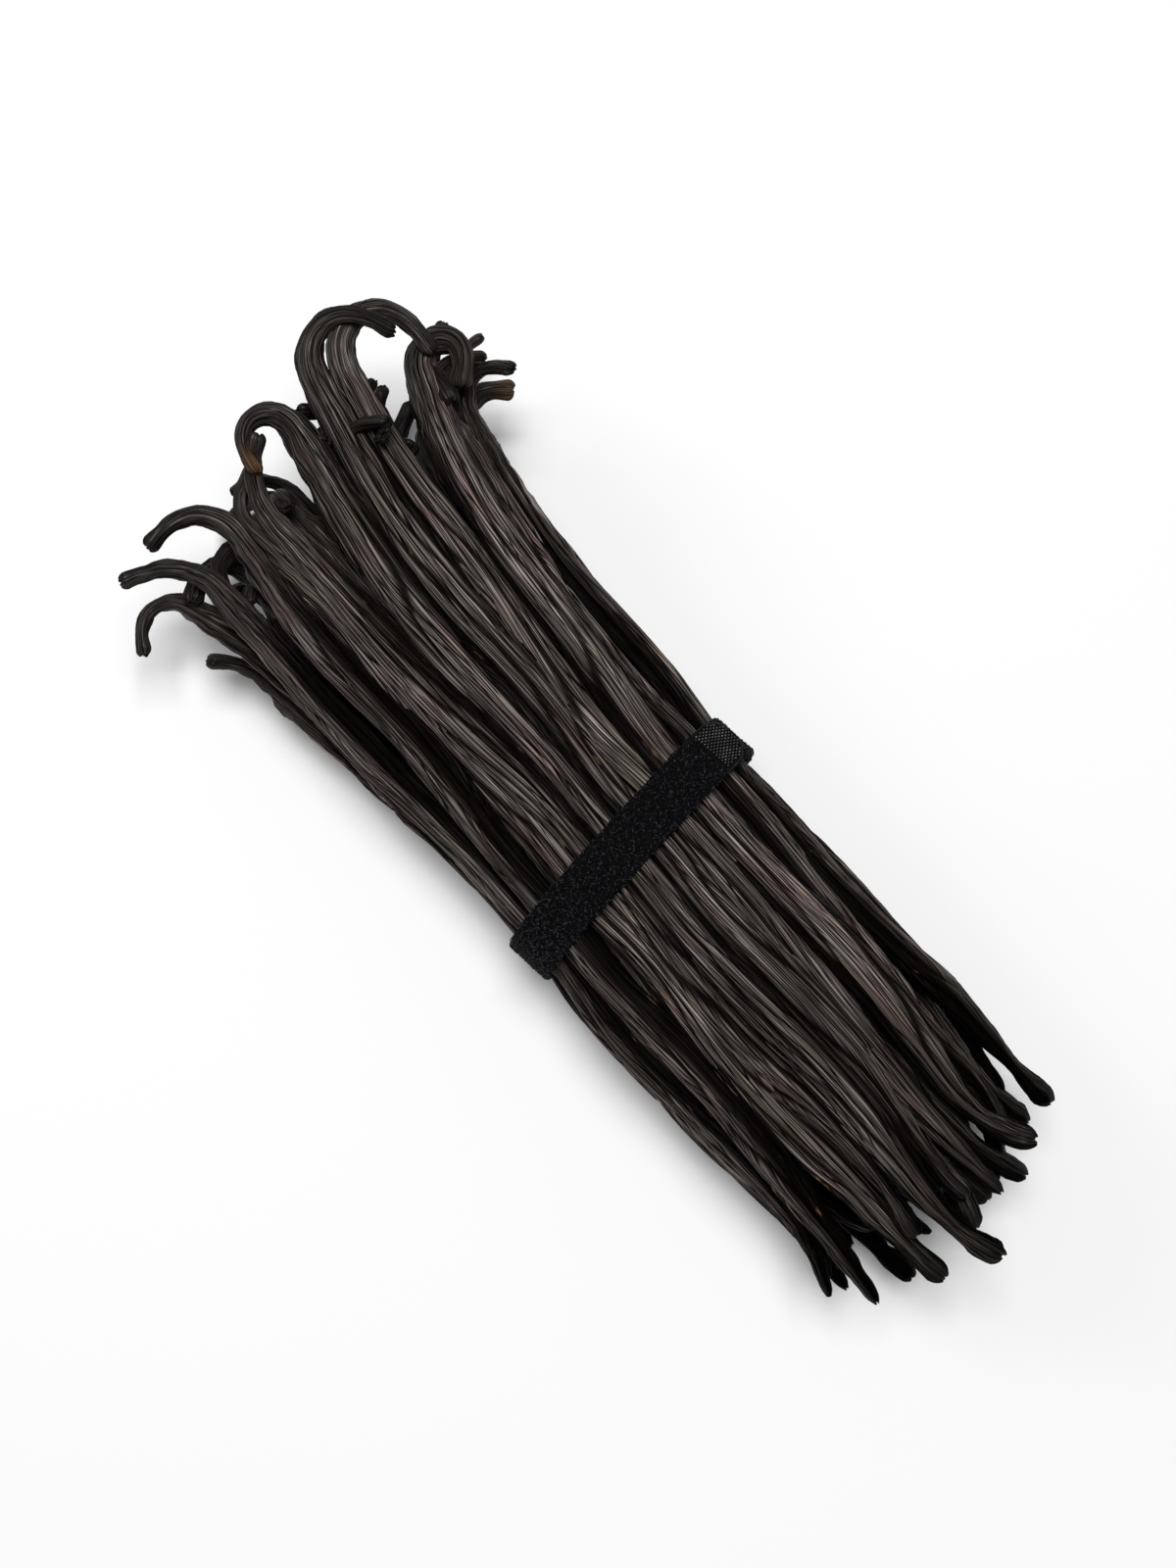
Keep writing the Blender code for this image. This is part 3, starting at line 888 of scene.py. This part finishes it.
class Nodes:
    """A node tree with short ways to add its nodes and to link them."""

    def __init__(self, tree):
        self.tree = tree

    def add(self, kind, **settings):
        node = self.tree.nodes.new(kind)
        for name, value in settings.items():
            setattr(node, name, value)
        return node

    def put(self, socket, value):
        if isinstance(value, bpy.types.NodeSocket):
            self.tree.links.new(value, socket)
        elif value is not None:
            socket.default_value = value

    def attribute(self, name, output="Fac"):
        return self.add("ShaderNodeAttribute", attribute_name=name).outputs[output]

    def math(self, operation, a, b=None, clamp=False):
        node = self.add("ShaderNodeMath", operation=operation, use_clamp=clamp)
        self.put(node.inputs[0], a)
        self.put(node.inputs[1], b)
        return node.outputs[0]

    def mapped(self, vector, scale, location=(0, 0, 0)):
        node = self.add("ShaderNodeMapping")
        self.put(node.inputs["Vector"], vector)
        self.put(node.inputs["Scale"], scale)
        self.put(node.inputs["Location"], location)
        return node.outputs[0]

    def stored(self, name, kind):
        node = self.add("GeometryNodeInputNamedAttribute", data_type=kind)
        self.put(node.inputs["Name"], name)
        return node.outputs["Attribute"]

    def flat(self, along, across, long, wide, shift=0.0):
        """A place on the unrolled skin, counted in features this long and wide."""
        node = self.add("ShaderNodeCombineXYZ")
        self.put(node.inputs[0], self.math("DIVIDE", along, long))
        self.put(node.inputs[1], self.math("ADD", self.math("DIVIDE", across, wide), shift))
        return node.outputs[0]

    def flat_vector(self, space, long, wide):
        """The same for a place that is given as a vector."""
        return self.mapped(space, (1 / long, 1 / wide, 1.0))

    def long_lines(self, along, across, wide, long, shift=0.0):
        """The distance from long lines that wander along the skin: 0 on a line, 0.5 between two."""
        sway = self.noise(self.flat(along, across, long, wide * MEANDER_WIDE, shift), detail=1.0)
        place = self.math("ADD", self.math("DIVIDE", across, wide), self.math("MULTIPLY", sway, MEANDER))
        cells = self.add("ShaderNodeTexVoronoi", voronoi_dimensions="1D", feature="DISTANCE_TO_EDGE")
        self.put(cells.inputs["W"], self.math("ADD", place, shift))
        self.put(cells.inputs["Scale"], 1.0)
        return cells.outputs["Distance"]

    def noise(self, vector, detail=2.0, roughness=0.5, space="2D"):
        node = self.add("ShaderNodeTexNoise", noise_dimensions=space)
        self.put(node.inputs["Vector"], vector)
        self.put(node.inputs["Scale"], 1.0)
        self.put(node.inputs["Detail"], detail)
        self.put(node.inputs["Roughness"], roughness)
        return node.outputs["Fac"]

    def ramp(self, value, low, high, to_low=0.0, to_high=1.0):
        node = self.add("ShaderNodeMapRange", interpolation_type="SMOOTHSTEP")
        for socket, number in zip(node.inputs[:5], (value, low, high, to_low, to_high)):
            self.put(socket, number)
        return node.outputs[0]

    def mix(self, share, a, b, blend="MIX"):
        node = self.add("ShaderNodeMix", data_type="RGBA", blend_type=blend)
        self.put(node.inputs[0], share)
        self.put(node.inputs[6], a)
        self.put(node.inputs[7], b)
        return node.outputs[2]


def new_material(name):
    made = bpy.data.materials.new(name)
    made.use_nodes = True
    nodes = Nodes(made.node_tree)
    return made, nodes, made.node_tree.nodes["Principled BSDF"]


def wrinkle_group():
    """Fine long wrinkles on the unrolled skin: how high each part lies, and its painted light: painted shade
    in the grooves between the wrinkles, lighter and darker in long strips.
    """
    tree = bpy.data.node_groups.new("fine_wrinkles", "ShaderNodeTree")
    tree.interface.new_socket("Vector", in_out="INPUT", socket_type="NodeSocketVector")
    tree.interface.new_socket("Height", in_out="OUTPUT", socket_type="NodeSocketFloat")
    tree.interface.new_socket("Light", in_out="OUTPUT", socket_type="NodeSocketFloat")
    nodes = Nodes(tree)
    entry = nodes.add("NodeGroupInput")
    leave = nodes.add("NodeGroupOutput")
    place = nodes.add("ShaderNodeSeparateXYZ")
    nodes.put(place.inputs[0], entry.outputs[0])
    along, across = place.outputs[0], place.outputs[1]
    fine = nodes.ramp(nodes.long_lines(along, across, FINE_WIDE, FINE_LONG, 3.7), 0.03, 0.36)
    broad = nodes.ramp(nodes.long_lines(along, across, BROAD_WIDE, BROAD_LONG, 8.1), 0.0, 0.18)
    fading = nodes.noise(nodes.flat(along, across, 0.012, 0.0016, 5.3), detail=1.0)
    height = nodes.math("MAXIMUM", fine, nodes.ramp(fading, 0.55, 0.70, 0.0, 0.7))
    height = nodes.math("MULTIPLY", height, broad)
    strips = nodes.noise(nodes.flat(along, across, 0.016, 0.0007, 1.9), detail=2.0)
    nodes.put(leave.inputs["Height"], fine)
    # Painted light: lighter on the wrinkles' ridges and darker in their grooves, as painted shade.
    light = nodes.math(
        "MULTIPLY", nodes.ramp(height, 0.0, 1.0, 0.0, 1.0), nodes.ramp(strips, 0.3, 0.7, 0.45, 1.0)
    )
    nodes.put(leave.inputs["Light"], light)
    return tree


def pod_skin():
    """Cured skin: grey brown and waxy on its ridges and dry at some ends; painted shade makes it black in its
    furrows and creases and on the sides of each pod, and long lighter areas are painted highlights.
    """
    made, nodes, shader = new_material("pod_skin")
    space = nodes.attribute("skin_space", "Vector")
    wrinkles = nodes.add("ShaderNodeGroup", node_tree=wrinkle_group())
    nodes.put(wrinkles.inputs["Vector"], space)
    light = wrinkles.outputs["Light"]
    # Painted shade: the skin is darkened in the furrows of the wrinkles and in the creases, where shade
    # falls.
    painted_shade_mask = nodes.math(
        "MULTIPLY",
        nodes.ramp(nodes.attribute("wrinkles"), 0.1, 0.9, 1.0, 0.40),
        nodes.ramp(nodes.attribute("creases"), 0.1, 0.9, 1.0, 0.08),
    )
    # Painted highlights: long lighter areas stand in for flat parts of the skin that catch the light, and the
    # skin between them is darker.
    painted_highlight_patches = nodes.noise(nodes.flat_vector(space, 0.034, 0.0045), detail=2.0)
    painted_shade_mask = nodes.math("MULTIPLY", painted_shade_mask, nodes.ramp(painted_highlight_patches, 0.30, 0.60, 0.55, 1.0))
    # Painted shade: the sides of each pod are darkened almost to black, where its neighbours would shade it.
    painted_shade_mask = nodes.math("MULTIPLY", painted_shade_mask, nodes.ramp(nodes.attribute("painted_flank_shade"), 0.0, 1.0, 1.0, 0.03))
    # lit is where the skin keeps its own grey brown; everywhere else it is mixed towards the near black of
    # painted shade.
    lit = nodes.math("MULTIPLY", painted_shade_mask, light)
    skin = nodes.mix(lit, SKIN_PAINTED_SHADE, SKIN_LIGHT)
    red = nodes.noise(nodes.mapped(space, (60, 300, 300)), detail=2.0)
    reddish = nodes.mix(lit, SKIN_PAINTED_SHADE, SKIN_RED)
    skin = nodes.mix(nodes.ramp(red, 0.52, 0.72, 0.0, 0.6), skin, reddish)
    olive = nodes.noise(nodes.mapped(space, (50, 220, 220), (3, 1, 2)), detail=1.0)
    greenish = nodes.mix(lit, SKIN_PAINTED_SHADE, SKIN_OLIVE)
    skin = nodes.mix(nodes.ramp(olive, 0.54, 0.72, 0.0, 0.5), skin, greenish)
    # The skin is darkened towards its ends, by random differences between pods, and by painted shade on the
    # pods inside the bundle.
    skin = nodes.mix(1.0, skin, nodes.attribute("tone_and_painted_light"), "MULTIPLY")

    flecks = nodes.noise(nodes.mapped(space, (100, 520, 520)), detail=3.0, roughness=0.65)
    woody = nodes.math("MULTIPLY", nodes.attribute("dryness"), nodes.ramp(flecks, 0.36, 0.60, 0.15, 1.0))
    dry = nodes.math("MAXIMUM", woody, nodes.ramp(flecks, 0.70, 0.80, 0.0, 0.7))
    # The woody ends and pale flecks are dimmed in the fine grooves, as painted shade.
    dry = nodes.math("MULTIPLY", dry, nodes.ramp(light, 0.0, 1.0, 0.2, 1.0))
    skin = nodes.mix(dry, skin, SKIN_WOODY)
    nodes.put(shader.inputs["Base Color"], skin)

    rough = nodes.ramp(red, 0.3, 0.8, 0.44, 0.58)
    nodes.put(shader.inputs["Roughness"], nodes.math("ADD", rough, nodes.math("MULTIPLY", dry, 0.25)))
    shader.inputs["Specular IOR Level"].default_value = 0.02
    coat = nodes.math("MULTIPLY", lit, nodes.ramp(dry, 0.0, 0.5, 0.5, 0.0))
    nodes.put(shader.inputs["Coat Weight"], coat)
    shader.inputs["Coat Roughness"].default_value = 0.36
    bump = nodes.add("ShaderNodeBump")
    bump.inputs["Strength"].default_value = 1.0
    bump.inputs["Distance"].default_value = 0.00010
    nodes.put(bump.inputs["Height"], wrinkles.outputs["Height"])
    nodes.put(shader.inputs["Normal"], bump.outputs[0])
    return made


def core_painted_shade():
    """The pods in the middle, nearly black: painted shade, since hardly any light reaches them."""
    made, nodes, shader = new_material("pod_core_painted_shade")
    space = nodes.add("ShaderNodeTexCoord").outputs["Object"]
    streaks = nodes.noise(nodes.mapped(space, (80, 900, 900)), detail=2.0, space="3D")
    shade = nodes.ramp(streaks, 0.35, 0.65)
    skin = nodes.mix(shade, (0.004, 0.003, 0.0025, 1), (0.012, 0.009, 0.0075, 1))
    nodes.put(shader.inputs["Base Color"], skin)
    shader.inputs["Roughness"].default_value = 0.6
    bump = nodes.add("ShaderNodeBump")
    bump.inputs["Distance"].default_value = 0.0004
    nodes.put(bump.inputs["Height"], streaks)
    nodes.put(shader.inputs["Normal"], bump.outputs[0])
    return made


def strap_web():
    """The black ground of the strap, which shows a little between its loops, made darker than the thread as
    painted shade between them.
    """
    made, nodes, shader = new_material("strap_web")
    space = nodes.attribute("strap_space", "Vector")
    nap = nodes.noise(nodes.mapped(space, (3200, 3200, 3200)), detail=2.0, roughness=0.7, space="3D")
    colour = nodes.mix(nodes.ramp(nap, 0.35, 0.7), (0.0008, 0.0008, 0.0010, 1), (0.0050, 0.0050, 0.0058, 1))
    nodes.put(shader.inputs["Base Color"], colour)
    shader.inputs["Roughness"].default_value = 0.9
    shader.inputs["Specular IOR Level"].default_value = 0.05
    bump = nodes.add("ShaderNodeBump")
    bump.inputs["Distance"].default_value = 0.0003
    nodes.put(bump.inputs["Height"], nap)
    nodes.put(shader.inputs["Normal"], bump.outputs[0])
    return made


def strap_pile():
    """The black thread of the loops, a little lighter where it is worn."""
    made, nodes, shader = new_material("strap_pile")
    space = nodes.attribute("strap_space", "Vector")
    worn = nodes.noise(nodes.mapped(space, (600, 600, 600)), detail=2.0, space="3D")
    each = nodes.noise(nodes.mapped(space, (1900, 1900, 1900)), detail=1.0, space="3D")
    colour = nodes.mix(nodes.ramp(each, 0.40, 0.66), (0.0016, 0.0016, 0.0019, 1), (0.0380, 0.0360, 0.0440, 1))
    colour = nodes.mix(nodes.ramp(worn, 0.5, 0.8, 0.0, 0.4), colour, (0.0210, 0.0200, 0.0240, 1))
    nodes.put(shader.inputs["Base Color"], colour)
    nodes.put(shader.inputs["Roughness"], nodes.ramp(each, 0.3, 0.7, 0.75, 0.5))
    shader.inputs["Specular IOR Level"].default_value = 0.16
    return made


def tab_plastic(name, tone_and_painted_light):
    """The moulded tab's black plastic with a dull shine, made darker or lighter by the share it is given:
    painted highlights on the studs and painted shade on the tab between them.
    """
    made, nodes, shader = new_material(name)
    space = nodes.attribute("strap_space", "Vector")
    rubbed = nodes.noise(nodes.mapped(space, (700, 700, 700)), detail=3.0, space="3D")
    colour = nodes.mix(nodes.ramp(rubbed, 0.4, 0.7), (0.0030, 0.0030, 0.0034, 1), (0.0080, 0.0078, 0.0080, 1))
    nodes.put(shader.inputs["Base Color"], nodes.mix(1.0, colour, (tone_and_painted_light, tone_and_painted_light, tone_and_painted_light, 1), "MULTIPLY"))
    nodes.put(shader.inputs["Roughness"], nodes.ramp(rubbed, 0.3, 0.7, 0.50, 0.65))
    shader.inputs["Specular IOR Level"].default_value = 0.10
    bump = nodes.add("ShaderNodeBump")
    bump.inputs["Distance"].default_value = 0.00005
    nodes.put(bump.inputs["Height"], rubbed)
    nodes.put(shader.inputs["Normal"], bump.outputs[0])
    return made


def floor_material():
    made, nodes, shader = new_material("floor_white")
    shader.inputs["Base Color"].default_value = (0.92, 0.92, 0.92, 1)
    shader.inputs["Roughness"].default_value = 0.8
    return made


# ---- floor, light and camera ----


def make_floor():
    pick_none()
    bpy.ops.mesh.primitive_plane_add(size=6, location=(0, 0, -0.00002))
    floor = bpy.context.object
    floor.name = "floor"
    floor.data.materials.append(floor_material())


def add_softbox(name, place, size, power):
    """A square area light at this place that faces the middle of the bundle."""
    light = bpy.data.lights.new(name, "AREA")
    light.size = size
    light.energy = power
    lamp = bpy.data.objects.new(name, light)
    lamp.location = place
    lamp.rotation_euler = (Vector((0, 0, 0.02)) - Vector(place)).to_track_quat("-Z", "Y").to_euler()
    bpy.context.scene.collection.objects.link(lamp)


def make_light():
    world = bpy.data.worlds.new("studio")
    world.use_nodes = True
    world.node_tree.nodes["Background"].inputs[0].default_value = (1, 1, 1, 1)
    world.node_tree.nodes["Background"].inputs[1].default_value = 0.16
    bpy.context.scene.world = world
    add_softbox("overhead", (-0.12, 0.10, 1.30), 0.55, 15.5)
    add_softbox("side_fill", (-0.95, -0.45, 0.75), 0.45, 2.2)


def camera_axes():
    """The camera's right, up and forward at the viewing angle."""
    azimuth, elevation = math.radians(CAMERA_AZIMUTH), math.radians(CAMERA_ELEVATION)
    forward = -Vector(
        (
            math.sin(azimuth) * math.cos(elevation),
            -math.cos(azimuth) * math.cos(elevation),
            math.sin(elevation),
        )
    )
    right = Vector((math.cos(azimuth), math.sin(azimuth), 0))
    return right, right.cross(forward), forward


def make_camera():
    right, up, forward = camera_axes()
    data = bpy.data.cameras.new("camera")
    data.lens = CAMERA_LENS
    data.sensor_width = 36
    data.clip_start = 0.01
    camera = bpy.data.objects.new("camera", data)
    camera.location = Vector((0.02874, -0.01241, 0.38565)) - 0.0178 * right - 0.0158 * up
    camera.rotation_mode = "QUATERNION"
    camera.rotation_quaternion = forward.to_track_quat("-Z", "Y")
    bpy.context.scene.collection.objects.link(camera)
    bpy.context.scene.camera = camera


def dress(piece, finish):
    piece.data.materials.clear()
    piece.data.materials.append(finish)


def stand_for(piece, node):
    """The piece stands for this node of the solid, which is hidden, and hangs from the root's empty."""
    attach(piece, "root")
    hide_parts(node)


def main():
    bpy.context.scene.view_settings.view_transform = "Standard"
    make_camera()
    make_floor()
    make_light()
    skin = pod_skin()
    for piece in make_pods():
        dress(piece, skin)
        stand_for(piece, "pods")
    core = make_core()
    dress(core, core_painted_shade())
    stand_for(core, "pods")
    # The tab is a darker copy of the plastic as painted shade, and its studs a much lighter copy as painted
    # highlights.
    tab = tab_plastic("strap_tab_painted_shade", 0.2)
    studs = tab_plastic("strap_studs_painted_highlight", 20.0)
    stand_for(make_strap(strap_web(), strap_pile(), tab, studs), "strap")


main()
